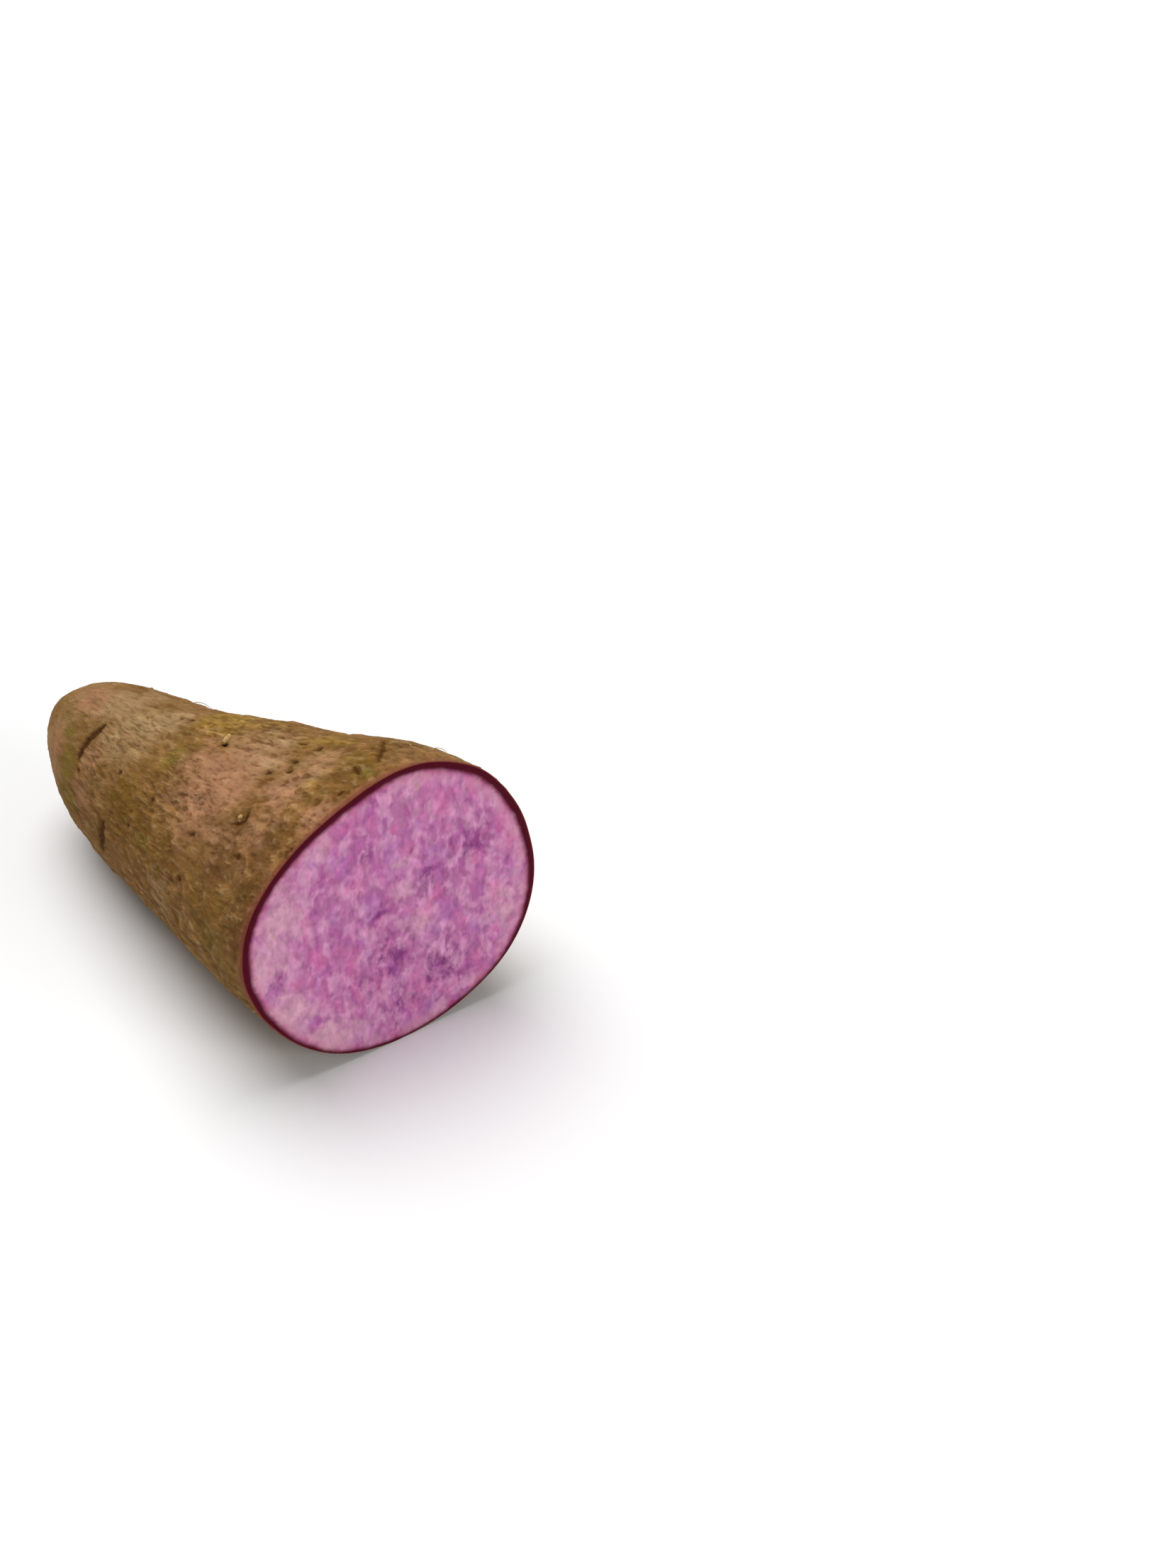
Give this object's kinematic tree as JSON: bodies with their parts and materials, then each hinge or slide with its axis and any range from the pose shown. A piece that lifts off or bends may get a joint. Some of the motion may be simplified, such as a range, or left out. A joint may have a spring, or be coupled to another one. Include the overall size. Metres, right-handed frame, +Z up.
{
  "type": "purple yam half",
  "caption": "Half of a purple yam, cut across: a blunt tapering tuber with rough brown bark and a flat purple cut face, lying on its side.",
  "frame": {"origin": "middle of the bounding box, on the surface that the tuber lies on", "axes": "+X along the tuber from its blunt tip towards the cut face, +Z up, -Y the side that the cut face turns a little towards"},
  "size_m": [0.1332, 0.078, 0.0755],
  "materials": {
    "yam": "rough brown bark outside, moist mottled purple flesh with a dark maroon rim on the cut face"
  },
  "bodies": {
    "root": {"yam_half": "yam"}
  },
  "joints": []
}
